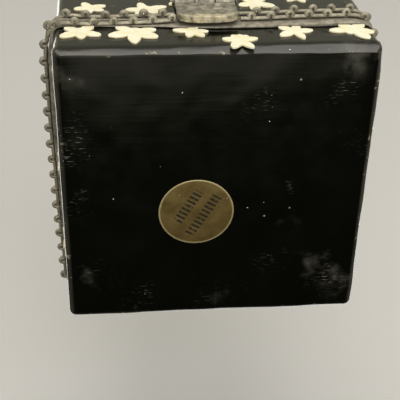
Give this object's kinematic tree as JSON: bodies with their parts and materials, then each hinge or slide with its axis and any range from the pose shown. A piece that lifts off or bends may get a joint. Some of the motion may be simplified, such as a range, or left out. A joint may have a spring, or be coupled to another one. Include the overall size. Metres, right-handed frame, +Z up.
{
  "type": "jewelry box",
  "caption": "Small square hinged trinket box of black lacquered wood with a looped metal rim trim, a hanging front clasp and applied ivory flowers.",
  "frame": {"origin": "middle of the underside of the closed box, on the surface it stands on", "axes": "+Z up; -Y is the front with the clasp, +Y the back with the hinge; +X is to the right seen from the front"},
  "size_m": [0.0816, 0.0826, 0.0387],
  "materials": {
    "black_lacquer": "gloss black lacquer over wood",
    "aged_pewter": "aged, dull silver-beige",
    "dull_steel": "dull",
    "ivory_resin": "satin ivory",
    "gold_foil": "dark gold foil",
    "black_felt": "matte felt"
  },
  "bodies": {
    "body": {"body_back_wall": "black_lacquer", "body_floor_pad": "black_felt", "body_front_wall": "black_lacquer", "body_left_wall": "black_lacquer", "body_loop_wire_left": "aged_pewter", "body_loop_wire_right": "aged_pewter", "body_right_wall": "black_lacquer", "body_rim_band": "aged_pewter", "bottom_panel": "black_lacquer", "catch_stud": "dull_steel", "flower_body_back_1": "ivory_resin", "flower_body_back_2": "ivory_resin", "flower_body_front_1": "ivory_resin", "flower_body_front_2": "ivory_resin", "flower_body_front_3": "ivory_resin", "flower_body_front_4": "ivory_resin", "flower_body_front_5": "ivory_resin", "flower_body_front_6": "ivory_resin", "flower_body_left_1": "ivory_resin", "flower_body_left_2": "ivory_resin", "flower_body_left_3": "ivory_resin", "flower_body_left_4": "ivory_resin", "flower_body_right_1": "ivory_resin", "flower_body_right_2": "ivory_resin", "flower_body_right_3": "ivory_resin", "foil_sticker": "gold_foil", "hinge_body_leaf": "aged_pewter", "hinge_body_nail_left": "dull_steel", "hinge_body_nail_right": "dull_steel", "hinge_pin": "dull_steel"},
    "lid": {"clasp_mount": "aged_pewter", "clasp_nail_left": "dull_steel", "clasp_nail_right": "dull_steel", "clasp_pin": "dull_steel", "flower_lid_front_1": "ivory_resin", "flower_lid_front_2": "ivory_resin", "flower_lid_front_3": "ivory_resin", "flower_lid_front_4": "ivory_resin", "flower_lid_left_1": "ivory_resin", "flower_lid_left_2": "ivory_resin", "flower_lid_right_1": "ivory_resin", "flower_lid_right_2": "ivory_resin", "flower_lid_top_1": "ivory_resin", "flower_lid_top_2": "ivory_resin", "flower_lid_top_3": "ivory_resin", "flower_lid_top_4": "ivory_resin", "flower_lid_top_5": "ivory_resin", "hinge_lid_leaf": "aged_pewter", "hinge_lid_nail_left": "dull_steel", "hinge_lid_nail_right": "dull_steel", "lid_back_wall": "black_lacquer", "lid_front_wall": "black_lacquer", "lid_left_wall": "black_lacquer", "lid_lining_pad": "black_felt", "lid_loop_wire_left": "aged_pewter", "lid_loop_wire_right": "aged_pewter", "lid_right_wall": "black_lacquer", "lid_rim_band": "aged_pewter", "lid_top_panel": "black_lacquer"},
    "clasp": {"clasp_plate": "aged_pewter"}
  },
  "joints": [
    {"name": "lid_hinge", "type": "hinge", "parent": "body", "child": "lid", "pos_m": [0, 0.0402, 0.0175], "axis": [-1, 0, 0], "range_deg": [0, 105]},
    {"name": "clasp_hinge", "type": "hinge", "parent": "lid", "child": "clasp", "pos_m": [-0.0015, -0.03995, 0.0247], "axis": [-1, 0, 0], "range_deg": [0, 150]}
  ]
}
